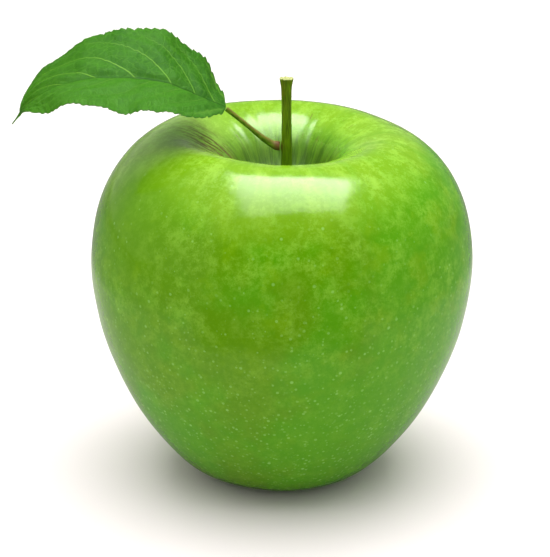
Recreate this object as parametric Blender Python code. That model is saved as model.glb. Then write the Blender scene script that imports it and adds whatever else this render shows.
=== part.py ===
"""A green apple, as picked: the fruit, its woody stalk, one leaf on its own petiole,
and the dried sepals and stamens in the basin under the fruit.

The shapes are worked out in millimetres in the fruit's own frame: the fruit's core is
the Z axis, the flat ring that the fruit stands on lies in z = 0, and the leaf reaches
out towards -X. A parent empty then moves the whole apple along X, so that the origin
is the middle of its footprint.
"""
import math

import bmesh
import bpy
import numpy as np

MM = 0.001              # metres in a millimetre
GAP = 0.3               # clearance between neighbouring pieces

# Fruit: a profile (distance from the core, height) turned about the core.
FRUIT_SIDES = 64
RING_SPACING = 2.9      # distance along the profile between two rings of vertices
SOCKET_RADIUS = 1.7     # hole in the cavity's floor that the stalk stands in
SOCKET_FLOOR = 57.0
SOCKET_MOUTH = 59.2
REST_RING = (11.5, 14.5)  # inner and outer radius of the flat ring it stands on
CAVITY = [(SOCKET_RADIUS, SOCKET_MOUTH), (5.0, 60.2), (8.4, 64.0), (11.3, 68.6), (15.2, 71.6),
          (21.9, 73.6)]
CHEEK = [(30.4, 69.7), (36.7, 61.5), (39.6, 48.5), (38.2, 34.8), (33.5, 21.2),
         (27.0, 10.1), (20.3, 2.6), (REST_RING[1], 0.0)]
BASIN = [(REST_RING[0], 0.0), (9.4, 1.4), (7.2, 4.8), (4.0, 7.3), (1.0, 7.9)]

# How a grown fruit departs from a turned one.
LOBES = 5
LOBE_SHARE = 0.007      # lobe height as a share of the radius
OVAL_SHARE = 0.004
HIGH_SIDE = math.radians(165)   # the shoulder stands higher on this side
HIGH_SIDE_RISE = 0.5
FURROW_SIDE = math.radians(192)  # a furrow runs out of the cavity on this side
FURROW_DEPTH = 1.3
FURROW_HALF_ANGLE = math.radians(17)
STALK_X = 1.15          # the stalk and the cavity's floor are this far off the core

# Stalk: (height, radius) up its length.
STALK_SIDES = 16
STALK_SECTIONS = [(SOCKET_FLOOR + GAP, 1.25), (60.0, 1.3), (63.0, 1.2), (67.0, 1.13), (72.0, 1.06),
                  (77.0, 1.0), (81.3, 1.03), (83.4, 1.16), (85.2, 1.32)]

# Petiole: from the stalk's side to the leaf's base.
PETIOLE_SIDES = 14
PETIOLE_PATH = [(-0.25, 0.0, 70.75), (-1.6, 0.0, 71.15), (-4.4, 0.1, 73.1), (-8.1, 0.3, 76.2),
                (-11.1, 0.5, 78.6)]
PETIOLE_RADII = [0.85, 0.66, 0.5, 0.48, 0.52]

# Leaf blade: a serrated sheet folded along its midrib.
MIDRIB_PATH = [(-11.3, 0.5, 78.8), (-16.5, 0.2, 81.5), (-22.5, -0.1, 84.2), (-28.5, -0.5, 85.4),
               (-34.5, -1.1, 85.8), (-40.6, -1.6, 85.4), (-46.6, -2.2, 83.7), (-51.1, -2.7, 80.7),
               (-54.4, -3.0, 76.4)]
# (share of the midrib's length, half width of the blade)
LEAF_WIDTHS = [(0.0, 0.9), (0.02, 5.4), (0.05, 8.0), (0.1, 12.2), (0.18, 13.9), (0.34, 14.6),
               (0.5, 14.0), (0.66, 11.8), (0.8, 9.4), (0.89, 5.5), (0.935, 1.5), (0.955, 0.6), (1.0, 0.35)]
LEAF_THICKNESS = 0.6
LEAF_TEETH = 26         # along each margin
LEAF_TOOTH_DEPTH = 0.55
LEAF_COLUMNS = 5        # faces across each half
FOLD_PLACES = [0.0, 0.05, 0.12, 0.22, 0.34, 0.46, 0.58, 0.7, 0.82, 0.92, 1.0]
REAR_FOLD = [16, 14, 20, 24, 32, 29, 25, 16, 11, 10, 10]       # degrees that the rear half rises
FRONT_FOLD = [-8, -1, -2, -6, -8, -14, -8, -5, -10, 10, 20]    # degrees that the front half rises

# Dried flower parts in the basin.
SEPALS = 5
SEPAL_PATH = [(3.1, 6.75), (2.7, 5.4), (3.1, 4.0), (4.3, 3.0), (5.4, 2.9)]  # (radius, height)
SEPAL_HALF_WIDTHS = [1.05, 1.2, 1.0, 0.6, 0.2]
SEPAL_THICKNESS = 0.35
TUFT_RIDGES = 9
TUFT_SECTIONS = [(7.55, 1.3), (6.6, 1.5), (5.4, 1.2), (4.4, 0.7)]           # (height, radius)

FRUIT_RADIUS = 39.6
LEAF_REACH = 54.4
CORE_X = (LEAF_REACH - FRUIT_RADIUS) / 2    # the core's place in the finished frame

COLOURS = {             # linear red, green and blue, and roughness
    "fruit": ((0.13, 0.33, 0.015), 0.28),
    "stalk": ((0.09, 0.17, 0.006), 0.6),
    "petiole": ((0.17, 0.19, 0.04), 0.5),
    "leaf_blade": ((0.08, 0.27, 0.03), 0.45),
    "sepal": ((0.12, 0.075, 0.035), 0.85),
    "stamen_tuft": ((0.07, 0.04, 0.02), 0.9),
}


def clear_scene():
    for thing in list(bpy.data.objects):
        bpy.data.objects.remove(thing, do_unlink=True)


def smooth_curve(points, count):
    """A curve through the points (centripetal Catmull-Rom), as count evenly spaced rows."""
    points = np.array(points, float)
    steps = np.linalg.norm(np.diff(points, axis=0), axis=1) ** 0.5
    knots = np.concatenate([[0.0], np.cumsum(steps)])
    slopes = np.gradient(points, knots, axis=0)
    fine = []
    for start in range(len(points) - 1):
        width = knots[start + 1] - knots[start]
        for u in np.linspace(0, 1, 40, endpoint=False):
            fine.append((2 * u**3 - 3 * u**2 + 1) * points[start]
                        + (u**3 - 2 * u**2 + u) * width * slopes[start]
                        + (3 * u**2 - 2 * u**3) * points[start + 1]
                        + (u**3 - u**2) * width * slopes[start + 1])
    fine = np.array(fine + [points[-1]])
    reach = np.concatenate([[0.0], np.cumsum(np.linalg.norm(np.diff(fine, axis=0), axis=1))])
    places = np.linspace(0, reach[-1], count)
    return np.column_stack([np.interp(places, reach, column) for column in fine.T])


def smooth_step(low, high, value):
    share = np.clip((value - low) / (high - low), 0, 1)
    return share * share * (3 - 2 * share)


def piece(name, rings, look):
    """One closed body skinned over rings of points, with a face across each end ring."""
    mesh = bpy.data.meshes.new(name)
    form = bmesh.new()
    rows = [[form.verts.new([value * MM for value in point]) for point in ring] for ring in rings]
    sides = len(rows[0])
    for row, following in zip(rows, rows[1:]):
        for side in range(sides):
            other = (side + 1) % sides
            form.faces.new([row[side], row[other], following[other], following[side]])
    form.faces.new(rows[0])
    form.faces.new(rows[-1])
    bmesh.ops.recalc_face_normals(form, faces=form.faces)
    form.to_mesh(mesh)
    form.free()
    mesh.shade_smooth()
    mesh.set_sharp_from_angle(angle=math.radians(50))
    mesh.materials.append(material(look))
    body = bpy.data.objects.new(name, mesh)
    bpy.context.collection.objects.link(body)
    return body


def material(look):
    found = bpy.data.materials.get(look)
    if found:
        return found
    colour, roughness = COLOURS[look]
    made = bpy.data.materials.new(look)
    made.use_nodes = True
    shader = made.node_tree.nodes["Principled BSDF"]
    shader.inputs["Base Color"].default_value = (*colour, 1.0)
    shader.inputs["Roughness"].default_value = roughness
    shader.inputs["Metallic"].default_value = 0.0
    return made


def fruit_profile():
    """The fruit's whole section, from the stalk's socket round to the middle of the basin."""
    rows = [(SOCKET_RADIUS, SOCKET_FLOOR)]
    for part in (CAVITY + CHEEK, BASIN):
        length = np.linalg.norm(np.diff(np.array(part), axis=0), axis=1).sum()
        stretch = smooth_curve(part, max(4, round(length / RING_SPACING) + 1))
        rows += [row for row in stretch.tolist() if row != rows[-1]]
    return rows


def fruit_ring(radius, height):
    """One ring of the fruit, with the lobes, the higher side and the furrow of a grown one."""
    turn = np.linspace(0, 2 * math.pi, FRUIT_SIDES, endpoint=False)
    lobes = LOBE_SHARE * np.cos(LOBES * turn + 0.6) + OVAL_SHARE * np.cos(2 * turn + 1.9)
    spread = radius * (1 + lobes * smooth_step(4, 16, radius))
    upper = smooth_step(45, 62, height)
    lip = upper * math.exp(-((radius - 20) / 10) ** 2) * smooth_step(4, 12, radius)
    off_furrow = (turn - FURROW_SIDE) / FURROW_HALF_ANGLE
    furrow_place = upper * math.exp(-((radius - 14) / 6) ** 2) * smooth_step(4, 9, radius)
    level = (height + HIGH_SIDE_RISE * lip * np.cos(turn - HIGH_SIDE)
             - FURROW_DEPTH * furrow_place * np.exp(-off_furrow**2))
    lean = STALK_X * upper * (1 - smooth_step(4, 15, radius))
    return np.column_stack([lean + spread * np.cos(turn), spread * np.sin(turn), level])


def make_fruit():
    return piece("fruit", [fruit_ring(radius, height) for radius, height in fruit_profile()], "fruit")


def make_stalk():
    turn = np.linspace(0, 2 * math.pi, STALK_SIDES, endpoint=False)
    rings = []
    for height, radius in smooth_curve(STALK_SECTIONS, 13):
        ridged = radius * (1 + 0.05 * np.cos(3 * turn + 0.1 * height))
        rings.append(np.column_stack([STALK_X + ridged * np.cos(turn), ridged * np.sin(turn),
                                      np.full(STALK_SIDES, height)]))
    return piece("stalk", rings, "stalk")


def across(tangents):
    """For each step along a path, the level direction across it and the one that points up."""
    level = np.cross(tangents, (0.0, 0.0, 1.0))
    level /= np.linalg.norm(level, axis=1)[:, None]
    level *= np.sign(level[:, 1])[:, None]
    rise = np.cross(tangents, level)
    rise *= np.sign(rise[:, 2])[:, None]
    return level, rise


def path_directions(path):
    tangents = np.gradient(path, axis=0)
    return tangents / np.linalg.norm(tangents, axis=1)[:, None]


def make_petiole():
    path = smooth_curve(PETIOLE_PATH, 15)
    radii = np.interp(np.linspace(0, 1, len(path)), np.linspace(0, 1, len(PETIOLE_RADII)),
                      PETIOLE_RADII)
    level, rise = across(path_directions(path))
    level[0], rise[0] = (0.0, 1.0, 0.0), (0.0, 0.0, 1.0)    # its foot is flat against the stalk
    turn = np.linspace(0, 2 * math.pi, PETIOLE_SIDES, endpoint=False)
    rings = [path[i] + radii[i] * (np.outer(np.cos(turn), level[i]) + np.outer(np.sin(turn), rise[i]))
             for i in range(len(path))]
    return piece("petiole", rings, "petiole")


def make_leaf_blade():
    stations = 2 * LEAF_TEETH + 1
    midrib = smooth_curve(MIDRIB_PATH, stations)
    level, rise = across(path_directions(midrib))
    shares = np.linspace(0, 1, stations)
    rear = np.radians(np.interp(shares, FOLD_PLACES, REAR_FOLD))
    front = np.radians(np.interp(shares, FOLD_PLACES, FRONT_FOLD))
    outline = smooth_curve(LEAF_WIDTHS, 200)
    widths = np.interp(shares, outline[:, 0], outline[:, 1])
    steps = np.linspace(0, 1, LEAF_COLUMNS + 1)
    rings = []
    for i in range(stations):
        tooth = LEAF_TOOTH_DEPTH * (i % 2) * min(1, widths[i] / 4)
        reach = np.outer(steps, 1) * (widths[i] - tooth)
        # Thickest on the midrib, thin at the margin; the first and last stations are narrow.
        half_thick = (LEAF_THICKNESS / 2) * (1.4 - 0.8 * steps)[:, None]
        rear_way = math.cos(rear[i]) * level[i] + math.sin(rear[i]) * rise[i]
        front_way = -math.cos(front[i]) * level[i] + math.sin(front[i]) * rise[i]
        rear_row = midrib[i] + reach * rear_way
        front_row = midrib[i] + reach * front_way
        top = np.vstack([front_row[:0:-1] + half_thick[:0:-1] * rise[i], rear_row + half_thick * rise[i]])
        below = np.vstack([rear_row[:0:-1] - half_thick[:0:-1] * rise[i], front_row - half_thick * rise[i]])
        rings.append(np.vstack([top, below]))
    return piece("leaf_blade", rings, "leaf_blade")


def make_sepal(number):
    """A dried sepal: it hangs from the basin's floor and its tip curls outwards."""
    side = 2 * math.pi * (number + 0.3) / SEPALS
    outward = np.array([math.cos(side), math.sin(side), 0.0])
    sideways = np.array([-math.sin(side), math.cos(side), 0.0])
    path = smooth_curve(SEPAL_PATH, 9)
    widths = np.interp(np.linspace(0, 1, 9), np.linspace(0, 1, 5), SEPAL_HALF_WIDTHS)
    slopes = path_directions(path)
    rings = []
    for (radius, height), (run, drop), half_width in zip(path, slopes, widths):
        centre = outward * radius + np.array([0.0, 0.0, height])
        through = (outward * -drop + np.array([0.0, 0.0, run])) * SEPAL_THICKNESS / 2
        cup = through * 1.6     # the edges curl away from the middle
        rings.append([centre - sideways * half_width + cup - through, centre - through,
                      centre + sideways * half_width + cup - through,
                      centre + sideways * half_width + cup + through, centre + through,
                      centre - sideways * half_width + cup + through])
    return piece(f"sepal_{number + 1}", rings, "sepal")


def make_stamen_tuft():
    turn = np.linspace(0, 2 * math.pi, 4 * TUFT_RIDGES, endpoint=False)
    rings = []
    for height, radius in TUFT_SECTIONS:
        ridged = radius * (0.85 + 0.15 * np.cos(TUFT_RIDGES * turn))
        rings.append(np.column_stack([ridged * np.cos(turn), ridged * np.sin(turn),
                                      np.full(len(turn), height)]))
    return piece("stamen_tuft", rings, "stamen_tuft")


def main():
    clear_scene()
    holder = bpy.data.objects.new("apple", None)
    bpy.context.collection.objects.link(holder)
    pieces = [make_fruit(), make_stalk(), make_petiole(), make_leaf_blade(), make_stamen_tuft()]
    pieces += [make_sepal(number) for number in range(SEPALS)]
    for body in pieces:
        body.parent = holder
    holder.location = (CORE_X * MM, 0.0, 0.0)


main()
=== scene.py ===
"""The looks of a green apple with its stalk and one leaf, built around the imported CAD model.

Shapes are worked out in millimetres in the fruit's own frame, as in the CAD source: the
fruit's core is the Z axis and the leaf reaches out towards -X. Every piece is then made
in metres and moved by CORE_X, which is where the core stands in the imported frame.
"""
import math

import bpy
import numpy as np
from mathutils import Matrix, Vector, noise


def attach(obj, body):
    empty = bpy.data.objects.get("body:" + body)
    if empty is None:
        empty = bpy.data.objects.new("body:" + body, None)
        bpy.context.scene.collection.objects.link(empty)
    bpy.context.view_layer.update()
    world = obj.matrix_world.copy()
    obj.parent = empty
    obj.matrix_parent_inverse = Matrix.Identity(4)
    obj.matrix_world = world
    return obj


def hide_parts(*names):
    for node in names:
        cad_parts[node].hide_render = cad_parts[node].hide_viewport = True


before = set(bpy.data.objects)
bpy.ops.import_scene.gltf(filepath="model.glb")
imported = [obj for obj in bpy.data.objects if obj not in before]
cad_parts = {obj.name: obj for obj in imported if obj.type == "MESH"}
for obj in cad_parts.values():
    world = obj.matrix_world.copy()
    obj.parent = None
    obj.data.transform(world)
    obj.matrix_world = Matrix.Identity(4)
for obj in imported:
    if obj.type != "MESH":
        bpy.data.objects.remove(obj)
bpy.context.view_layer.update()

MM = 0.001
FRUIT_RADIUS = 39.6
LEAF_REACH = 54.4
CORE_X = (LEAF_REACH - FRUIT_RADIUS) / 2

# ---------------------------------------------------------------- shapes shared with the CAD

GAP = 0.3
SOCKET_RADIUS = 1.7
SOCKET_FLOOR = 57.0
SOCKET_MOUTH = 59.2
REST_RING = (11.5, 14.5)

# The fruit's outline as (radius, height), from the cavity's floor to the middle of the basin.
CAVITY = [(SOCKET_RADIUS, SOCKET_MOUTH), (5.0, 60.2), (8.4, 64.0), (11.3, 68.6), (15.2, 71.6),
          (21.9, 73.6)]
CHEEK = [(30.4, 69.7), (36.7, 61.5), (39.6, 48.5), (38.2, 34.8), (33.5, 21.2),
         (27.0, 10.1), (20.3, 2.6), (REST_RING[1], 0.0)]
BASIN = [(REST_RING[0], 0.0), (9.4, 1.4), (7.2, 4.8), (4.0, 7.3), (1.0, 7.9)]

# How the fruit departs from a turned shape.
LOBES = 5
LOBE_SHARE = 0.007
OVAL_SHARE = 0.004
HIGH_SIDE = math.radians(165)
HIGH_SIDE_RISE = 0.5
FURROW_SIDE = math.radians(192)
FURROW_DEPTH = 1.3
FURROW_HALF_ANGLE = math.radians(17)
STALK_X = 1.15

# The stalk as (height, radius), and the paths of the petiole and the leaf's midrib as (x, y, z).
STALK_SECTIONS = [(SOCKET_FLOOR + GAP, 1.25), (60.0, 1.3), (63.0, 1.2), (67.0, 1.13), (72.0, 1.06),
                  (77.0, 1.0), (81.3, 1.03), (83.4, 1.16), (85.2, 1.32)]
PETIOLE_PATH = [(-0.25, 0.0, 70.75), (-1.6, 0.0, 71.15), (-4.4, 0.1, 73.1), (-8.1, 0.3, 76.2),
                (-11.1, 0.5, 78.6)]
PETIOLE_RADII = [0.85, 0.66, 0.5, 0.48, 0.52]
MIDRIB_PATH = [(-11.3, 0.5, 78.8), (-16.5, 0.2, 81.5), (-22.5, -0.1, 84.2), (-28.5, -0.5, 85.4),
               (-34.5, -1.1, 85.8), (-40.6, -1.6, 85.4), (-46.6, -2.2, 83.7), (-51.1, -2.7, 80.7),
               (-54.4, -3.0, 76.4)]

# Half the blade's width, and the degrees that each half rises, at shares of the midrib's length.
LEAF_WIDTHS = [(0.0, 0.9), (0.02, 5.4), (0.05, 8.0), (0.1, 12.2), (0.18, 13.9), (0.34, 14.6),
               (0.5, 14.0), (0.66, 11.8), (0.8, 9.4), (0.89, 5.5), (0.935, 1.5), (0.955, 0.6),
               (1.0, 0.35)]
FOLD_PLACES = [0.0, 0.05, 0.12, 0.22, 0.34, 0.46, 0.58, 0.7, 0.82, 0.92, 1.0]
REAR_FOLD = [16, 14, 20, 24, 32, 29, 25, 16, 11, 10, 10]
FRONT_FOLD = [-8, -1, -2, -6, -8, -14, -8, -5, -10, 10, 20]

SEPALS = 5

# ---------------------------------------------------------------- curves and grids of points


def distances(points):
    """How far each point lies along the path through them all."""
    lengths = np.linalg.norm(np.diff(np.array(points, float), axis=0), axis=1)
    return np.concatenate([[0.0], np.cumsum(lengths)])


def smooth_curve(points, count):
    """A curve through the points (centripetal Catmull-Rom), as count evenly spaced rows."""
    points = np.array(points, float)
    steps = np.linalg.norm(np.diff(points, axis=0), axis=1) ** 0.5
    knots = np.concatenate([[0.0], np.cumsum(steps)])
    slopes = np.gradient(points, knots, axis=0)
    fine = []
    for start in range(len(points) - 1):
        width = knots[start + 1] - knots[start]
        for u in np.linspace(0, 1, 40, endpoint=False):
            fine.append((2 * u**3 - 3 * u**2 + 1) * points[start]
                        + (u**3 - 2 * u**2 + u) * width * slopes[start]
                        + (3 * u**2 - 2 * u**3) * points[start + 1]
                        + (u**3 - u**2) * width * slopes[start + 1])
    fine = np.array(fine + [points[-1]])
    reach = distances(fine)
    places = np.linspace(0, reach[-1], count)
    return np.column_stack([np.interp(places, reach, column) for column in fine.T])


def smooth_step(low, high, value):
    """0 up to low and 1 from high on, or the other way round where low is the greater."""
    share = np.clip((value - low) / (high - low), 0, 1)
    return share * share * (3 - 2 * share)


def bell(value, centre, width):
    """1 at the centre, falling smoothly to about a third at width from it."""
    return np.exp(-((value - centre) / width) ** 2)


def stacked(x, y, z):
    """Points from their x, y and z, each spread over the same grid."""
    return np.stack(np.broadcast_arrays(x, y, z), axis=-1)


def polar(radius, turn, height):
    """Points from their radius, the angle round the Z axis and their height."""
    return stacked(radius * np.cos(turn), radius * np.sin(turn), height)


def full_turn(sides):
    """Evenly spaced angles, one for each side."""
    return np.linspace(0, 2 * math.pi, sides, endpoint=False)


def bumps(points, size, seed=0.0):
    """Smooth random heights between about -1 and 1, one a point, whose bumps are about size mm."""
    rows = np.asarray(points, float).reshape(-1, 3) / size + seed
    heights = np.array([noise.noise(Vector(row)) for row in rows])
    return heights.reshape(np.asarray(points).shape[:-1])


def directions(path):
    """For each point of a path: the level direction across it, and the upward one."""
    heading = np.gradient(path, axis=0)
    heading /= np.linalg.norm(heading, axis=1)[:, None]
    level = np.cross(heading, (0.0, 0.0, 1.0))
    level /= np.linalg.norm(level, axis=1)[:, None]
    level *= np.sign(level[:, 1])[:, None]
    rise = np.cross(heading, level)
    rise *= np.sign(rise[:, 2])[:, None]
    return level, rise


# ---------------------------------------------------------------- meshes


def faces_of(rows, sides):
    """Quads between rings of points, and a fan of triangles over each end ring."""
    faces = []
    for row in range(rows - 1):
        for side in range(sides):
            other = (side + 1) % sides
            faces.append((row * sides + side, row * sides + other,
                          (row + 1) * sides + other, (row + 1) * sides + side))
    first, last = rows * sides, rows * sides + 1
    for side in range(sides):
        other = (side + 1) % sides
        faces.append((first, other, side))
        faces.append((last, (rows - 1) * sides + side, (rows - 1) * sides + other))
    return faces


def enclosed_volume(points, faces):
    """Six times the volume inside the faces, and below zero where they look inwards."""
    total = 0.0
    for face in faces:
        corners = points[list(face)]
        for second, third in zip(corners[1:], corners[2:]):
            total += np.dot(corners[0], np.cross(second, third))
    return total


class Surface:
    """Collects closed tubes of rings, with values at their points, and makes one piece of them."""

    def __init__(self):
        self.points, self.faces, self.values = [], [], {}
        self.count = 0

    def add(self, rings, **values):
        """A tube through the rings, closed over both ends; each value spreads over its points."""
        rows, sides = rings.shape[:2]
        ends = [rings[0].mean(axis=0), rings[-1].mean(axis=0)]
        points = np.vstack([rings.reshape(-1, 3), ends])
        faces = faces_of(rows, sides)
        if enclosed_volume(points - points.mean(axis=0), faces) < 0:
            faces = [face[::-1] for face in faces]
        self.faces += [tuple(corner + self.count for corner in face) for face in faces]
        self.points.append(points)
        self.count += len(points)
        for name, field in values.items():
            field = np.broadcast_to(field, (rows, sides))
            at_ends = [field[0].mean(), field[-1].mean()]
            self.values.setdefault(name, []).append(np.concatenate([field.ravel(), at_ends]))

    def make(self, name, look, slot, *nodes):
        """The piece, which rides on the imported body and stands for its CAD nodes."""
        mesh = bpy.data.meshes.new(name)
        points = np.vstack(self.points) + (CORE_X, 0, 0)
        mesh.from_pydata((points * MM).tolist(), [], self.faces)
        for label, fields in self.values.items():
            layer = mesh.attributes.new(label, "FLOAT", "POINT")
            layer.data.foreach_set("value", np.concatenate(fields).astype(np.float32))
        mesh.shade_smooth()
        mesh.materials.append(look)
        piece = bpy.data.objects.new(name, mesh)
        bpy.context.collection.objects.link(piece)
        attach(piece, "root")
        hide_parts(*nodes)


# ---------------------------------------------------------------- shader nodes


class Nodes:
    """Short ways to add nodes to a shader tree. Most of them return the new node's output."""

    def __init__(self, tree):
        self.tree = tree

    def feed(self, socket, value):
        """Link an output to a socket, or set a constant on it."""
        if isinstance(value, bpy.types.NodeSocket):
            self.tree.links.new(value, socket)
        else:
            socket.default_value = value

    def add(self, kind, inputs=(), **settings):
        """The new node itself."""
        made = self.tree.nodes.new(kind)
        for label, value in settings.items():
            setattr(made, label, value)
        for place, value in dict(inputs).items():
            self.feed(made.inputs[place], value)
        return made

    def node(self, kind, inputs=(), output=0, **settings):
        return self.add(kind, inputs, **settings).outputs[output]

    def calc(self, operation, *values):
        return self.node("ShaderNodeMath", enumerate(values), operation=operation)

    def times(self, *factors):
        product = factors[0]
        for factor in factors[1:]:
            product = self.calc("MULTIPLY", product, factor)
        return product

    def step(self, low, high, value, start=0.0, end=1.0):
        """start up to low and end from high on, or the other way round where low is the greater."""
        return self.node("ShaderNodeMapRange",
                         {"Value": value, "From Min": low, "From Max": high, "To Min": start,
                          "To Max": end}, interpolation_type="SMOOTHSTEP")

    def vector(self, operation, *values):
        return self.node("ShaderNodeVectorMath", enumerate(values), operation=operation)

    def measure(self, operation, *vectors):
        """A number from vectors: their distance or dot product, or one vector's length."""
        return self.node("ShaderNodeVectorMath", enumerate(vectors), output=1, operation=operation)

    def scaled(self, vector, factor):
        return self.node("ShaderNodeVectorMath", {0: vector, "Scale": factor}, operation="SCALE")

    def joined(self, x, y, z):
        return self.node("ShaderNodeCombineXYZ", {0: x, 1: y, 2: z})

    def axis(self, vector, number):
        return self.node("ShaderNodeSeparateXYZ", {0: vector}, output=number)

    def off_front(self, vector):
        """How far round from the camera's side a direction points, in radians."""
        backwards = self.times(self.axis(vector, 1), -1.0)
        return self.calc("ABSOLUTE", self.calc("ARCTAN2", self.axis(vector, 0), backwards))

    def blend(self, share, first, second):
        """first where share is 0 and second where it is 1; both are colours."""
        pair = [colour if isinstance(colour, bpy.types.NodeSocket) else (*colour, 1.0)
                for colour in (first, second)]
        return self.node("ShaderNodeMix", {0: share, 6: pair[0], 7: pair[1]}, output=2,
                         data_type="RGBA")

    def layers(self, ground, *washes):
        """The ground colour with each wash, a (share, colour) pair, laid over it in turn."""
        for share, colour in washes:
            ground = self.blend(share, ground, colour)
        return ground


class Look(Nodes):
    """A Principled material whose colour, roughness and relief are built from nodes."""

    def __init__(self, name, **fixed):
        self.material = bpy.data.materials.new(name)
        self.material.use_nodes = True
        super().__init__(self.material.node_tree)
        self.shader = self.tree.nodes["Principled BSDF"]
        for socket, value in fixed.items():
            self.shader.inputs[socket.replace("_", " ")].default_value = value

    def field(self, name):
        """A value that Surface.add spread over the piece's points."""
        return self.node("ShaderNodeAttribute", output="Fac", attribute_name=name)

    def place(self):
        """The position in millimetres, from the fruit's core."""
        own = self.node("ShaderNodeTexCoord", output="Object")
        return self.scaled(self.vector("SUBTRACT", own, (CORE_X * MM, 0, 0)), 1 / MM)

    def grain(self, vector, size, detail=2.0, roughness=0.5):
        """Noise from 0 to 1 whose blotches are about size millimetres."""
        return self.node("ShaderNodeTexNoise", {"Vector": vector, "Scale": 1 / size, "Detail": detail,
                                                "Roughness": roughness})

    def net(self, vector, scale):
        """The distance to the nearest line of a net; scale is its meshes in a millimetre."""
        return self.node("ShaderNodeTexVoronoi", {"Vector": vector, "Scale": scale},
                         feature="DISTANCE_TO_EDGE")

    def finish(self, colour, roughness, relief, height):
        """relief runs from 0 to 1, and height is what 1 stands for, in millimetres."""
        self.feed(self.shader.inputs["Base Color"], colour)
        self.feed(self.shader.inputs["Roughness"], roughness)
        bump = self.node("ShaderNodeBump", {"Height": relief, "Distance": height * MM, "Strength": 1.0})
        self.feed(self.shader.inputs["Normal"], bump)
        return self.material


# ---------------------------------------------------------------- the skin's material

# Colours of the skin, linear.
FULL_GREEN = (0.090, 0.242, 0.0004)
COOL_GREEN = (0.074, 0.280, 0.0008)
YELLOW_GREEN = (0.142, 0.315, 0.0008)
VEIL_GREEN = (0.290, 0.560, 0.046)
CROWN_GREEN = (0.230, 0.420, 0.026)
# The pale green of a patch of painted light on the shoulder under the leaf.
PAINTED_LIGHT_GREEN = (0.440, 0.760, 0.110)
PORE_GREEN = (0.280, 0.540, 0.110)
SHADE_GREEN = (0.040, 0.105, 0.002)
RUSSET = (0.120, 0.068, 0.020)

STREAK_RING = 38.0      # the streaks' noise is read on a cylinder of this radius
STREAK_DRAW = 0.3       # and drawn out along the profile


def cool_share(look, place, patches):
    """Where the green is cooler: in patches, mostly to the right and low down."""
    rightwards = look.step(-15, 32, look.axis(place, 0), -0.12, 0.16)
    downwards = look.step(52, 18, look.axis(place, 2), 0.0, 0.13)
    return look.step(0.36, 0.64, look.calc("ADD", patches, look.calc("ADD", rightwards, downwards)))


def pores(look, place, spacing, reach, share):
    """Round soft spots of uneven size and strength, from 0 to 1; share says how many there are."""
    cells = look.add("ShaderNodeTexVoronoi", {"Vector": place, "Scale": 1 / spacing}).outputs
    chance, size, strength = look.add("ShaderNodeSeparateColor", {0: cells["Color"]}).outputs
    edge = look.times(look.step(0, 1, size, 0.55, 1.25), reach)
    spot = look.step(0.0, 0.18, look.calc("SUBTRACT", edge, cells["Distance"]))
    chosen = look.step(0.0, 0.2, look.calc("SUBTRACT", share, chance))
    return look.times(spot, chosen, look.step(0, 1, strength, 0.25, 1.0))


def near(look, place, centre, inner, outer):
    """1 within inner millimetres of centre, and 0 beyond outer."""
    return look.step(outer, inner, look.measure("DISTANCE", place, centre))


def russet_share(look, around, lines, along):
    """Thin brown scribbles along the streaks, mostly where the furrow leaves the cavity."""
    furrow_way = (math.cos(FURROW_SIDE), math.sin(FURROW_SIDE), 0)
    near_furrow = look.step(0.75, 0.97, look.measure("DOT_PRODUCT", around, furrow_way))
    scribble = look.grain(lines, 1.7, 5, 0.7)
    beside_furrow = look.times(near_furrow, look.step(0.48, 0.53, scribble))
    anywhere = look.step(0.64, 0.69, scribble)
    near_mouth = look.times(look.step(5, 10, along), look.step(33, 21, along))
    return look.times(look.calc("MAXIMUM", anywhere, beside_furrow), near_mouth, 0.9)


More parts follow.
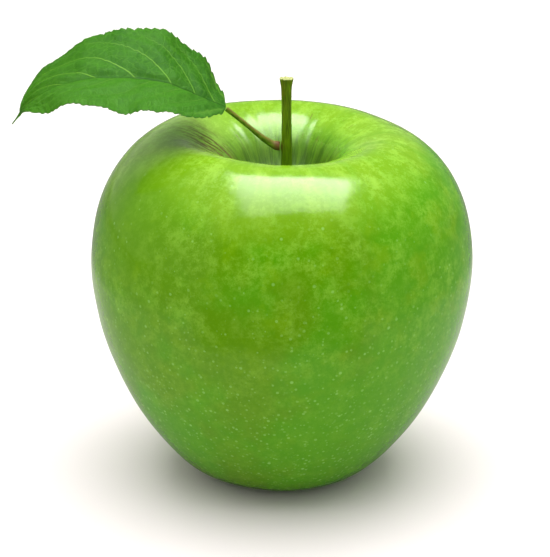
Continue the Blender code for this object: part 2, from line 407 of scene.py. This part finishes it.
def skin_look():
    """Mottled, streaked and pored waxy skin; the fields along, crown and hollow say where."""
    look = Look("apple_skin", IOR=1.36)
    place = look.place()
    height = look.axis(place, 2)
    along, crown, hollow = look.field("along"), look.field("crown"), look.field("hollow")
    around = look.vector("NORMALIZE", look.vector("MULTIPLY", place, (1, 1, 0)))
    lines = look.vector("ADD", look.scaled(around, STREAK_RING),
                        look.joined(0, 0, look.times(along, STREAK_DRAW)))
    streaks = look.step(0.38, 0.62, look.grain(lines, 1.5, 4, 0.62))
    broad_streaks = look.step(0.35, 0.65, look.grain(lines, 4.5, 3))
    patches = look.grain(place, 13, 3)

    # Patches of green, under a crown that is paler on some streaks and yellower between others. The
    # crown is partly a paler top and partly painted light, and it reaches lower on the camera's side as
    # painted light.
    cool = cool_share(look, place, patches)
    yellow = look.step(0.50, 0.70, look.grain(place, 6, 4, 0.6))
    green = look.layers(
        FULL_GREEN,
        (cool, COOL_GREEN),
        (look.times(yellow, look.step(22, 60, height, 0.2, 0.6)), YELLOW_GREEN),
        (look.times(crown, look.step(0, 1, broad_streaks, 0.55, 1.0)), CROWN_GREEN),
        (look.times(crown, look.step(1, 0, streaks), 0.45), YELLOW_GREEN))

    # A mottled pale veil, as strong in its fine grain as in its drifts, thickest towards the top.
    mottle = look.step(0.40, 0.68, look.grain(place, 3.6, 5, 0.90))
    drifts = look.step(0.34, 0.66, look.grain(place, 9, 3), 0.50, 1.0)
    veil = look.times(mottle, drifts, look.step(20, 66, height, 0.20, 0.48))
    green = look.layers(
        green,
        (veil, VEIL_GREEN),
        (look.times(crown, look.step(0.55, 0.10, mottle), 0.55), YELLOW_GREEN))

    # Beside the leaf, painted light and shade: a darker green patch on the front of the shoulder is a
    # painted shadow of the leaf, and a pale patch on its top is painted light that lifts the leaf's real
    # shadow there.
    painted_leaf_shadow = look.times(near(look, place, (-29, -18, 64), 4, 20), 0.65)
    painted_light_patch = look.times(near(look, place, (-26, 6, 69), 8, 22), look.step(0, 1, mottle, 0.55, 0.90))
    green = look.layers(green, (painted_leaf_shadow, FULL_GREEN), (painted_light_patch, PAINTED_LIGHT_GREEN))

    # Pale pores, close together near the base and sparse near the crown.
    large = pores(look, place, 1.6, 0.24, look.step(60, 14, height, 0.20, 1.0))
    small = pores(look, place, 0.90, 0.35, look.step(66, 18, height, 0.15, 0.95))
    spots = look.calc("MAXIMUM", look.times(large, 0.62), look.times(small, 0.42))

    # Inside the cavity the streaks run radially, and the wall is painted darker towards the stalk as
    # painted shade in the recess.
    cavity_wall = look.step(24, 12, along)
    dark_lines = look.times(cavity_wall, look.step(0.52, 0.40, look.grain(lines, 1.9, 4, 0.65)))
    deepest_shade = look.times(hollow, look.step(0.3, 0.7, broad_streaks, 0.85, 0.60))
    green = look.layers(
        green,
        (spots, PORE_GREEN),
        (look.times(cavity_wall, streaks, 0.55), CROWN_GREEN),
        (look.times(dark_lines, 0.85), SHADE_GREEN),
        (deepest_shade, SHADE_GREEN),
        (russet_share(look, around, lines, along), RUSSET))

    gloss = look.step(0.3, 0.8, patches, 0.11, 0.18)
    dull = look.calc("ADD", look.times(cavity_wall, 0.30), look.times(mottle, 0.05))
    relief = look.calc("ADD", look.times(look.grain(place, 0.9, 3, 0.6), 0.7), look.times(spots, 0.4))
    return look.finish(green, look.calc("ADD", gloss, dull), relief, 0.035)


# ---------------------------------------------------------------- the other materials

LEAF_DEEP = (0.010, 0.070, 0.0005)
LEAF_DARK = (0.017, 0.098, 0.0005)
LEAF_GREEN = (0.027, 0.128, 0.001)


def leaf_look():
    """Veined green above and paler below; along and across lay the blade out flat."""
    look = Look("leaf_green", IOR=1.33, Specular_IOR_Level=0.12)
    along, across = look.field("along"), look.field("across")
    phase, edge, upper = look.field("phase"), look.field("edge"), look.field("upper")
    flat = look.joined(along, across, 0)

    # The midrib, and side veins that grow thinner away from it and stop short of the margin.
    from_midrib = look.calc("ABSOLUTE", across)
    midrib = look.step(0.42, 0.15, from_midrib)
    vein_width = look.step(0, 10, from_midrib, 1.0, 0.45)
    from_side_vein = look.calc("DIVIDE", look.times(look.calc("PINGPONG", phase, 0.5), 6.0), vein_width)
    off_margin = look.step(0.3, 4.0, edge)
    side_vein = look.times(look.step(0.21, 0.06, from_side_vein), off_margin)
    # Painted shade along both sides of each side vein, where the blade dips into it.
    vein_edge_shade = look.times(look.step(0.75, 0.2, from_side_vein), off_margin)

    # Two nets of small veins, and ribs between the side veins.
    wander = look.node("ShaderNodeTexNoise", {"Vector": flat, "Scale": 0.6}, output="Color")
    warped = look.vector("ADD", flat, look.scaled(wander, 1.6))
    mesh_lines = look.step(0.08, 0.015, look.net(warped, 0.5))
    fine_lines = look.step(0.12, 0.0, look.net(warped, 1.9))
    ribs = look.grain(look.vector("MULTIPLY", warped, (3.0, 0.45, 1)), 1.0, 2)

    blotches = look.grain(flat, 8, 3)
    front_half = look.step(0.2, -0.2, across)
    fainter_in_front = look.calc("SUBTRACT", 0.85, look.times(front_half, 0.50))
    green = look.layers(
        LEAF_DARK,
        (look.step(0.3, 0.7, blotches), LEAF_GREEN),
        (look.times(front_half, 0.65), (0.032, 0.140, 0.004)),
        (look.times(look.step(22, 44, along), 0.4), (0.038, 0.145, 0.002)),        # towards the tip
        (look.times(look.step(13, 1, along), 0.6), (0.009, 0.070, 0.001)),         # near the foot
        (look.times(look.step(0.46, 0.64, ribs), 0.30), (0.038, 0.155, 0.004)),
        (look.times(look.step(0.50, 0.36, ribs), 0.25), LEAF_DEEP),
        (look.times(fine_lines, 0.16), (0.045, 0.165, 0.008)),
        (look.times(mesh_lines, 0.40), (0.055, 0.185, 0.010)),
        (look.times(vein_edge_shade, 0.30), (0.011, 0.074, 0.0005)),
        (look.times(side_vein, fainter_in_front), (0.14, 0.32, 0.028)),
        # Painted shade: the midrib's groove is darkened, most near the foot and fading towards the tip.
        (look.times(midrib, look.step(40, 15, along, 0.2, 0.75)), (0.010, 0.060, 0.0005)),
        (look.times(look.step(0.30, 0.05, edge), 0.4), (0.05, 0.18, 0.010)))
    under = look.blend(look.calc("MAXIMUM", midrib, side_vein), (0.13, 0.26, 0.07), (0.20, 0.33, 0.10))
    green = look.blend(look.calc("SUBTRACT", 1.0, upper), green, under)

    raised = look.calc("ADD", look.times(ribs, 0.5), look.times(look.grain(flat, 0.7, 2), 0.3))
    sunk = look.calc("ADD", look.times(mesh_lines, 0.35), look.times(fine_lines, 0.15))
    return look.finish(green, look.step(0, 1, blotches, 0.42, 0.58),
                       look.calc("SUBTRACT", raised, sunk), 0.10)


def stalk_look():
    """Fibrous green bark, yellower low down, with a scar at the knot and pale pith at the cut."""
    look = Look("stalk_bark", IOR=1.3, Specular_IOR_Level=0.3)
    place = look.place()
    fibres = look.grain(look.vector("MULTIPLY", place, (3.2, 3.2, 0.30)), 1.0, 4)
    blotches = look.grain(look.vector("MULTIPLY", place, (1, 1, 0.5)), 2.6, 3)
    lower = look.step(73, 66, look.field("height"))
    pith = look.blend(fibres, (0.16, 0.20, 0.04), (0.62, 0.62, 0.26))
    bark = look.layers(
        (0.062, 0.112, 0.0005),
        (look.step(0.35, 0.65, fibres), (0.130, 0.235, 0.001)),
        (look.times(look.step(0.48, 0.66, blotches), 0.6), (0.110, 0.100, 0.002)),
        (look.times(lower, 0.6), (0.090, 0.200, 0.002)),
        (look.times(look.field("scar"), 0.8), (0.10, 0.035, 0.015)))
    bark = look.blend(look.field("cut"), bark, pith)
    return look.finish(bark, look.step(0, 1, fibres, 0.42, 0.65), fibres, 0.10)


def petiole_look():
    """Green, browner on top and reddish at the foot."""
    look = Look("petiole_green", IOR=1.3, Specular_IOR_Level=0.3)
    fibres = look.grain(look.vector("MULTIPLY", look.place(), (1.0, 4.0, 1.0)), 0.9, 4)
    green = look.layers(
        (0.058, 0.135, 0.002),
        (look.step(0.35, 0.65, fibres), (0.125, 0.245, 0.010)),
        (look.times(look.field("top"), look.step(0.3, 0.6, fibres, 0.55, 1.0)), (0.155, 0.140, 0.018)),
        (look.times(look.field("foot"), 0.85), (0.14, 0.045, 0.022)))
    return look.finish(green, look.step(0, 1, fibres, 0.35, 0.55), fibres, 0.05)


def dried_look(name, dark, light):
    """Crumpled dry tissue."""
    look = Look(name, IOR=1.35)
    crumple = look.grain(look.place(), 0.5, 5, 0.65)
    colour = look.blend(look.step(0.35, 0.68, crumple), dark, light)
    return look.finish(colour, look.step(0, 1, crumple, 0.7, 0.95), crumple, 0.12)


# ---------------------------------------------------------------- the fruit

FRUIT_SIDES = 320
RING_SPACING = 0.62


def fruit_profile():
    """The outline as (radius, height), from the socket's floor over the cheek to the basin."""
    rows = [(0.3, SOCKET_FLOOR), (SOCKET_RADIUS, SOCKET_FLOOR)]
    for part in (CAVITY + CHEEK, BASIN):
        rows += smooth_curve(part, round(distances(part)[-1] / RING_SPACING) + 1).tolist()
    return np.array(rows)


def make_fruit():
    """The CAD's fruit again, in fine rings, with the low relief that a grown skin has."""
    profile = fruit_profile()
    radius, height = profile[:, :1], profile[:, 1:]
    along = distances(profile)[:, None]
    turn = full_turn(FRUIT_SIDES)[None, :]
    lobes = LOBE_SHARE * np.cos(LOBES * turn + 0.6) + OVAL_SHARE * np.cos(2 * turn + 1.9)
    spread = radius * (1 + lobes * smooth_step(4, 16, radius))
    upper = smooth_step(45, 62, height)
    lip = upper * bell(radius, 20, 10) * smooth_step(4, 12, radius)
    furrow_wall = upper * bell(radius, 14, 6) * smooth_step(4, 9, radius)
    furrow = furrow_wall * bell(turn, FURROW_SIDE, FURROW_HALF_ANGLE)
    level = height + HIGH_SIDE_RISE * lip * np.cos(turn - HIGH_SIDE) - FURROW_DEPTH * furrow
    lean = STALK_X * upper * (1 - smooth_step(4, 15, radius))

    # Shallow dents everywhere, and radial ridges inside the cavity. The rest ring stays flat.
    solid = polar(spread, turn, level)
    dents = 0.10 * bumps(solid, 11.0) + 0.03 * bumps(solid, 4.5, 7.3)
    ridges = 0.22 * bumps(polar(9.0, turn, along / 14.0), 1.0, 3.1) * upper * bell(radius, 9, 7)
    free = smooth_step(0.2, 4.0, height) * smooth_step(2, 6, radius)
    push = (dents + ridges) * free
    slope = np.gradient(profile, axis=0)
    slope /= np.linalg.norm(slope, axis=1)[:, None]
    rings = polar(spread - push * slope[:, 1:], turn, level + push * slope[:, :1])
    rings[..., 0] += lean

    # The pale crown reaches further down over the front, the camera's side, than over the sides; that
    # lower reach is painted light.
    painted_crown_foot = 69 - 9 * np.clip(-np.sin(turn), 0, 1)**2
    crown = smooth_step(0, 73 - painted_crown_foot, height - painted_crown_foot) * smooth_step(7, 16, radius)
    # Painted shade: the cavity's wall is darkened towards the stalk.
    hollow = upper * smooth_step(15.5, 8, radius) * smooth_step(73, 65, height)
    fruit = Surface()
    fruit.add(rings, along=along, crown=crown, hollow=hollow)
    fruit.make("apple_fruit", skin_look(), "skin", "fruit")


# ---------------------------------------------------------------- stalk and petiole

STALK_RINGS = 150
STALK_SIDES = 48
KNOT_HEIGHT = 70.8      # where the petiole's foot meets the stalk
PETIOLE_RINGS = 90
PETIOLE_SIDES = 32


def make_stalk():
    """A ribbed stem with a knot at the petiole's foot and a flared, torn end."""
    sections = smooth_curve(STALK_SECTIONS, STALK_RINGS)
    height, radius = sections[:, :1], sections[:, 1:]
    turn = full_turn(STALK_SIDES)[None, :]
    around = polar(1.0, turn, height)
    ribs = 0.07 * bumps(around * (2.6, 2.6, 0.12), 1.0) + 0.05 * bumps(around * (1, 1, 0.5), 1.0, 5.0)
    knot = bell(height, KNOT_HEIGHT, 0.9) * bell(turn, math.pi, 0.9)
    flare = 0.08 * smooth_step(83.5, 85.2, height) * np.cos(2 * turn + 0.5)
    spread = radius * (1 + 0.05 * np.cos(3 * turn + 0.1 * height) + ribs + flare) + 0.16 * knot
    end = height[-1, 0]
    torn = 0.22 * smooth_step(end - 0.8, end, height) * bumps(around * (3, 3, 0), 1.0, 2.0)
    stem = polar(spread, turn, height + torn)

    # The cut end: two more rings step inwards over the torn rim, and the last one is sunk.
    inner = [stem[-1] * (0.86, 0.86, 1.0) + (0, 0, 0.04),
             stem[-1] * (0.55, 0.55, 1.0) - (0, 0, 0.22)]
    rings = np.concatenate([stem, np.stack(inner)]) + (STALK_X, 0, 0)
    cut = np.zeros((STALK_RINGS + 2, 1))
    cut[-3:] = [[0.25], [1.0], [0.8]]
    scar = np.concatenate([knot, np.zeros((2, STALK_SIDES))])
    stalk = Surface()
    stalk.add(rings, height=rings[..., 2], cut=cut, scar=scar)
    stalk.make("apple_stalk", stalk_look(), "stalk", "stalk")


def make_petiole():
    """The leaf's own stalk: grooved on top, and swollen where it joins the fruit's stalk."""
    path = smooth_curve(PETIOLE_PATH, PETIOLE_RINGS)
    share = np.linspace(0, 1, PETIOLE_RINGS)[:, None]
    radius = np.interp(share, np.linspace(0, 1, len(PETIOLE_RADII)), PETIOLE_RADII)
    level, rise = directions(path)
    level[0], rise[0] = (0.0, 1.0, 0.0), (0.0, 0.0, 1.0)     # the first ring stands upright
    turn = full_turn(PETIOLE_SIDES)[None, :]
    groove = 0.22 * bell(turn, math.pi / 2, 0.42) * smooth_step(0.12, 0.35, share)
    swelling = 0.16 * bell(share, 0.05, 0.05)
    uneven = 0.06 * bumps(polar(1.0, turn, share * 11) * (1.5, 1.5, 0.8), 1.0)
    spread = radius * (1 - groove + swelling + uneven)
    rings = (path[:, None, :] + (spread * np.cos(turn))[..., None] * level[:, None, :]
             + (spread * np.sin(turn))[..., None] * rise[:, None, :])
    petiole = Surface()
    petiole.add(rings, top=smooth_step(-0.1, 0.75, np.sin(turn)), foot=smooth_step(0.16, 0.02, share))
    petiole.make("leaf_petiole", petiole_look(), "petiole", "petiole")


# ---------------------------------------------------------------- the leaf

LEAF_STATIONS = 420
LEAF_COLUMNS = 34
LEAF_TEETH = 34
LEAF_THICKNESS = 0.28
REAR_VEINS = [0.045, 0.14, 0.25, 0.405, 0.575, 0.72, 0.83]    # where side veins leave the midrib
FRONT_VEINS = [0.08, 0.19, 0.32, 0.48, 0.64, 0.78]


def vein_phase(share, steps, starts):
    """A field that is a whole number along each side vein; the veins sweep towards the tip."""
    places = [starts[0] - 0.12] + starts + [1.0]
    numbers = np.arange(len(places)) - 1.0
    origin = np.linspace(-0.2, 1.0, 600)
    columns = []
    for at in steps:
        swept = origin + (0.15 + 0.42 * origin) * at + 4.2 * np.maximum(origin, 0.2)**2 * at**4
        columns.append(np.interp(np.interp(share, swept, origin), places, numbers))
    return np.concatenate(columns, axis=1)


def margin_notch(share, depth):
    """How far the margin stands back at each station: sharp teeth that lean towards the tip."""
    drift = 0.45 * bumps(stacked(share * 22, 0, 0), 1.0, 4.0)
    beat = (share * LEAF_TEETH + drift) % 1.0
    saw = np.where(beat < 0.75, beat / 0.75, (1 - beat) / 0.25)
    second = (share * LEAF_TEETH * 3) % 1.0
    return depth * (1 - saw) + 0.25 * depth * (1 - second)


def fold_angle(share, folds):
    """How far a half of the blade rises at each station, in radians."""
    curve = smooth_curve(list(zip(FOLD_PLACES, folds)), 200)
    return np.radians(np.interp(share, curve[:, 0], curve[:, 1]))[..., None]


def half_blade(midrib, share, side, folds, starts, smoothing, seed):
    """One half of the blade's middle sheet, and its fields; side is 1 at the rear, -1 in front."""
    level, rise = (ways[:, None, :] for ways in directions(midrib))
    outline = smooth_curve(LEAF_WIDTHS, 400)
    widths = np.interp(share, outline[:, 0], outline[:, 1])
    steps = np.linspace(0, 1, LEAF_COLUMNS + 1) ** 0.9
    depth = (0.95 - smoothing * share) * np.minimum(1, widths / 5)
    uneven = 0.75 + 0.8 * bumps(stacked(share * 60, 0, seed), 1.0)
    reach = (widths - margin_notch(share, depth) * uneven) * steps
    phase = vein_phase(share, steps, starts)

    fold = fold_angle(share, folds)
    away = side * level * np.cos(fold) + rise * np.sin(fold)
    up = rise * np.cos(fold) - side * level * np.sin(fold)
    sheet = midrib[:, None, :] + reach[..., None] * away

    # The blade quilts up between its veins, waves at its margin and sinks along its midrib.
    quilt = 0.34 * np.sin(math.pi * phase)**2 * smooth_step(0, 0.2, steps) * (1 - steps**3)
    wave = 0.20 * steps**3 * np.sin(2 * math.pi * (6.3 * share + seed))
    pucker = 0.16 * bumps(stacked(share * 48, reach, seed), 2.4)
    curl = -0.3 * steps**4
    gutter = -0.35 * bell(reach, 0, 0.8)
    calm = smooth_step(0.02, 0.12, share) * smooth_step(1.0, 0.9, share)
    push = (quilt + wave + pucker + curl + gutter) * calm
    return {"sheet": sheet + push[..., None] * up,
            "along": share * distances(midrib)[-1] + 0 * reach,
            "across": side * reach,
            "phase": phase,
            "edge": reach[:, -1:] - reach}


def make_leaf():
    """Both halves joined at the midrib, as an upper sheet and an under sheet with raised veins."""
    midrib = smooth_curve(MIDRIB_PATH, LEAF_STATIONS)
    share = np.linspace(0, 1, LEAF_STATIONS)[:, None]
    rear = half_blade(midrib, share, 1.0, REAR_FOLD, REAR_VEINS, 0.85, 0.35)
    front = half_blade(midrib, share, -1.0, FRONT_FOLD, FRONT_VEINS, 0.45, 0.80)

    # From the front margin over the midrib, which both halves hold, to the rear margin.
    fields = {name: np.concatenate([front[name][:, :0:-1], rear[name]], axis=1) for name in rear}
    sheet = fields.pop("sheet")

    # The thickness runs along the rear half's upward direction.
    level, rise = (ways[:, None, :] for ways in directions(midrib))
    fold = fold_angle(share, REAR_FOLD)
    up = rise * np.cos(fold) - level * np.sin(fold)
    thick = LEAF_THICKNESS * (0.55 + 0.45 * smooth_step(0, 1.2, fields["edge"]))
    midrib_ridge = 0.55 * bell(fields["across"], 0, 0.55) * smooth_step(1.0, 0.6, share)
    from_vein = np.abs((fields["phase"] + 0.5) % 1 - 0.5)
    side_ridge = 0.12 * bell(from_vein, 0, 0.05) * smooth_step(0, 3, fields["edge"])
    top = sheet + (thick / 2)[..., None] * up
    below = sheet - (thick / 2 + midrib_ridge + side_ridge)[..., None] * up

    rings = np.concatenate([top, below[:, ::-1]], axis=1)
    doubled = {name: np.concatenate([field, field[:, ::-1]], axis=1) for name, field in fields.items()}
    doubled["upper"] = np.concatenate([np.ones_like(thick), np.zeros_like(thick)], axis=1)
    leaf = Surface()
    leaf.add(rings, **doubled)
    leaf.make("leaf_blade_detail", leaf_look(), "leaf", "leaf_blade")


# ---------------------------------------------------------------- dried flower parts

SEPAL_RINGS = 40
SEPAL_COLUMNS = 9
SEPAL_THICKNESS = 0.22
THREADS = 19
THREAD_RINGS = 14
THREAD_SIDES = 7
THREAD_ROOT = 7.7         # the height that the threads hang from
GOLDEN_ANGLE = 2.399963   # it spreads the threads evenly
PLUG_SECTIONS = [(7.9, 1.2), (7.3, 1.9), (6.9, 1.6), (6.7, 0.8)]      # (height, radius)
PLUG_SIDES = 36


def make_sepal(number, look):
    """A dried sepal: a pointed, cupped strip that hangs in the basin with its tip curled out."""
    side = 2 * math.pi * (number + 0.3) / SEPALS
    outward = polar(1.0, side, 0.0)
    sideways = polar(1.0, side + math.pi / 2, 0.0)
    upward = np.array([0.0, 0.0, 1.0])
    tip = 3.1 + 0.3 * math.sin(2.4 * number)
    path = smooth_curve([(3.1, 6.75), (2.7, 5.4), (3.0, 4.1), (4.1, tip + 0.1), (5.3, tip)], SEPAL_RINGS)
    slope = np.gradient(path, axis=0)
    slope /= np.linalg.norm(slope, axis=1)[:, None]
    share = np.linspace(0, 1, SEPAL_RINGS)
    half_width = np.interp(share, [0, 0.25, 0.5, 0.75, 1], [1.05, 1.2, 1.0, 0.55, 0.1])
    places = np.linspace(-1, 1, SEPAL_COLUMNS)
    centre = outward * path[:, :1] + upward * path[:, 1:]
    through = (upward * slope[:, :1] - outward * slope[:, 1:])[:, None, :]
    flat = centre[:, None, :] + sideways * (half_width[:, None] * places)[..., None]
    crinkle = 0.22 * bumps(flat * 1.6, 1.0, number) + 0.25 * places**2
    sheet = flat + crinkle[..., None] * through
    half_thick = SEPAL_THICKNESS / 2 * through
    sepal = Surface()
    sepal.add(np.concatenate([sheet + half_thick, (sheet - half_thick)[:, ::-1]], axis=1))
    sepal.make(f"dried_sepal_{number + 1}", look, "sepal", f"sepal_{number + 1}")


def make_stamens(look):
    """Withered stamens and styles: thin bent threads with shrunken tips, under a lobed plug."""
    bunch = Surface()
    ring = polar(1.0, full_turn(THREAD_SIDES), 0.0)
    radius = 0.11 + 0.13 * bell(np.linspace(0, 1, THREAD_RINGS), 0.93, 0.07)
    for number in range(THREADS):
        side = number * GOLDEN_ANGLE
        start = 0.28 * math.sqrt(number)
        drop = 2.3 + 0.8 * math.sin(1.7 * number)
        bend = 0.45 * math.cos(3.1 * number)
        points = [polar(start, side, THREAD_ROOT),
                  polar(start + 0.25, side, THREAD_ROOT - drop * 0.55),
                  polar(start + 0.25 + bend, side + 0.4, THREAD_ROOT - drop)]
        path = smooth_curve(points, THREAD_RINGS)
        bunch.add(path[:, None, :] + radius[:, None, None] * ring)
    height, radius = (column[:, None] for column in np.array(PLUG_SECTIONS).T)
    turn = full_turn(PLUG_SIDES)
    bunch.add(polar(radius * (1 + 0.12 * np.cos(5 * turn)), turn, height))
    bunch.make("dried_stamens", look, "stamens", "stamen_tuft")


# ---------------------------------------------------------------- the studio

# Brightness of the surroundings as they light the object, and as the skin mirrors them.
FRONT_GLOW = 0.46
LEFT_GLOW = 0.84
RIGHT_GLOW = 0.74
FRONT_MIRROR = 0.05
LEFT_MIRROR = 0.42
RIGHT_MIRROR = 0.25
OVERHEAD_STRENGTH = 5.15
SOFTBOX_STRENGTH = 17.0
FRONT_EDGES = (math.radians(42), math.radians(50))    # how far round the dark front reaches

FLOOR_REACH = 4000
MIRRORED_FLOOR_REACH = 3000

CAMERA_PLACE = (CORE_X * MM, -0.4636, 0.2233)
CAMERA_DIP = math.radians(21.394)      # the lens points this far below the level
CAMERA_TURN = math.radians(0.149)
CAMERA_SENSOR = 36.0
CAMERA_LENS = 153.9


def panel(name, height, left, right, look):
    """A level sheet; left and right each hold the x and y of a front corner and a rear corner."""
    mesh = bpy.data.meshes.new(name)
    corners = [left[0], right[0], right[1], left[1]]
    mesh.from_pydata([((CORE_X + x) * MM, y * MM, 0) for x, y in corners], [], [(0, 1, 2, 3)])
    mesh.materials.append(look)
    sheet = bpy.data.objects.new(name, mesh)
    sheet.location.z = height * MM
    bpy.context.collection.objects.link(sheet)
    return sheet


def square(reach):
    """The left and right edges of a square panel."""
    return [(-reach, -reach), (-reach, reach)], [(reach, -reach), (reach, reach)]


def hide_from(sheet, *kinds):
    """Hide a sheet from these kinds of ray."""
    for kind in kinds:
        setattr(sheet, f"visible_{kind}", False)


def floor_look():
    """Matt white, and glowing further off, so that it meets the white surroundings unseen."""
    look = Look("studio_floor", Roughness=0.9, Specular_IOR_Level=0.0)
    distance = look.measure("LENGTH", look.place())
    look.feed(look.shader.inputs["Base Color"], (0.86, 0.80, 0.80, 1.0))
    look.feed(look.shader.inputs["Emission Color"], (1.0, 1.0, 1.0, 1.0))
    look.feed(look.shader.inputs["Emission Strength"], look.step(280, 800, distance, 0.0, 0.9))
    return look.material


def mirrored_floor_look():
    """The floor as the skin mirrors it: pale round the fruit, dark further off."""
    look = Look("mirrored_floor", Roughness=1.0, Specular_IOR_Level=0.0)
    level = look.vector("MULTIPLY", look.place(), (1, 1, 0))
    off_front = look.off_front(level)
    reach = look.step(*FRONT_EDGES, off_front, 95, 145)
    pale = look.step(-18, 18, look.calc("SUBTRACT", reach, look.measure("LENGTH", level)))
    further_off = look.step(*FRONT_EDGES, off_front, 0.03, 0.20)
    look.feed(look.shader.inputs["Base Color"], look.blend(pale, further_off, (0.42, 0.42, 0.38)))
    return look.material


def light_look(name, strength, front_share):
    """A glowing sheet that is brightest at its rear and falls to front_share at its front."""
    look = Look(name)
    depth = look.axis(look.node("ShaderNodeTexCoord", output="Generated"), 1)
    fading = look.step(0.0, 1.0, depth, front_share * strength, strength)
    glow = look.node("ShaderNodeEmission", {"Color": (1, 1, 1, 1), "Strength": fading})
    look.feed(look.tree.nodes["Material Output"].inputs["Surface"], glow)
    return look.material


def make_world():
    """White to the camera. It lights the object less from the camera's side, and the skin
    mirrors it as dark in front, brighter to the left and dimmer to the right."""
    world = bpy.data.worlds.new("studio")
    bpy.context.scene.world = world
    world.use_nodes = True
    sky = Nodes(world.node_tree)
    way = sky.node("ShaderNodeTexCoord", output="Generated")
    x = sky.axis(way, 0)
    off_front = sky.off_front(way)
    side_glow = sky.step(-0.5, 0.5, x, LEFT_GLOW, RIGHT_GLOW)
    glow = sky.step(*FRONT_EDGES, off_front, FRONT_GLOW, side_glow)
    side_mirror = sky.step(-0.5, 0.5, x, LEFT_MIRROR, RIGHT_MIRROR)
    mirror = sky.times(side_mirror, sky.step(*FRONT_EDGES, off_front, FRONT_MIRROR, 1.0))
    rays = sky.add("ShaderNodeLightPath").outputs
    mirrored = rays["Is Glossy Ray"]
    strength = sky.calc("ADD", sky.times(glow, sky.calc("SUBTRACT", 1.0, mirrored)),
                        sky.times(mirror, mirrored))
    ground = sky.tree.nodes["Background"].inputs
    sky.feed(ground["Color"], (1.0, 0.99, 0.975, 1.0))
    sky.feed(ground["Strength"], sky.calc("MAXIMUM", strength, rays["Is Camera Ray"]))


def make_studio():
    """The floor, one light overhead, and a softbox and a floor that only the skin mirrors."""
    make_world()
    panel("floor", 0, *square(FLOOR_REACH), floor_look())
    mirrored = panel("mirrored_floor", 0.5, *square(MIRRORED_FLOOR_REACH), mirrored_floor_look())
    hide_from(mirrored, "camera", "diffuse", "transmission", "volume_scatter", "shadow")
    overhead = panel("overhead_light", 452, [(-255, -280), (-255, 280)], [(265, -280), (265, 280)],
                     light_look("overhead_glow", OVERHEAD_STRENGTH, 0.75))
    hide_from(overhead, "camera", "glossy")
    softbox = panel("softbox", 450, [(-178, -215), (-95, 178)], [(252, -130), (190, 178)],
                    light_look("softbox_glow", SOFTBOX_STRENGTH, 0.25))
    hide_from(softbox, "camera", "diffuse", "shadow")
    scene = bpy.context.scene
    scene.view_settings.view_transform = "Standard"
    scene.view_settings.look = "None"


def make_camera():
    """Half a metre off, 22 degrees above the level, with the frame set a little up and left."""
    camera = bpy.data.cameras.new("camera")
    camera.sensor_width = CAMERA_SENSOR
    camera.lens = CAMERA_LENS
    eye = bpy.data.objects.new("camera", camera)
    eye.location = CAMERA_PLACE
    eye.rotation_euler = (math.radians(90) - CAMERA_DIP, 0.0, CAMERA_TURN)
    bpy.context.collection.objects.link(eye)
    bpy.context.scene.camera = eye


make_fruit()
make_stalk()
make_petiole()
make_leaf()
sepal_look = dried_look("dried_sepal", (0.045, 0.028, 0.014), (0.20, 0.155, 0.085))
for number in range(SEPALS):
    make_sepal(number, sepal_look)
make_stamens(dried_look("dried_stamen", (0.018, 0.010, 0.005), (0.11, 0.07, 0.035)))
make_studio()
make_camera()
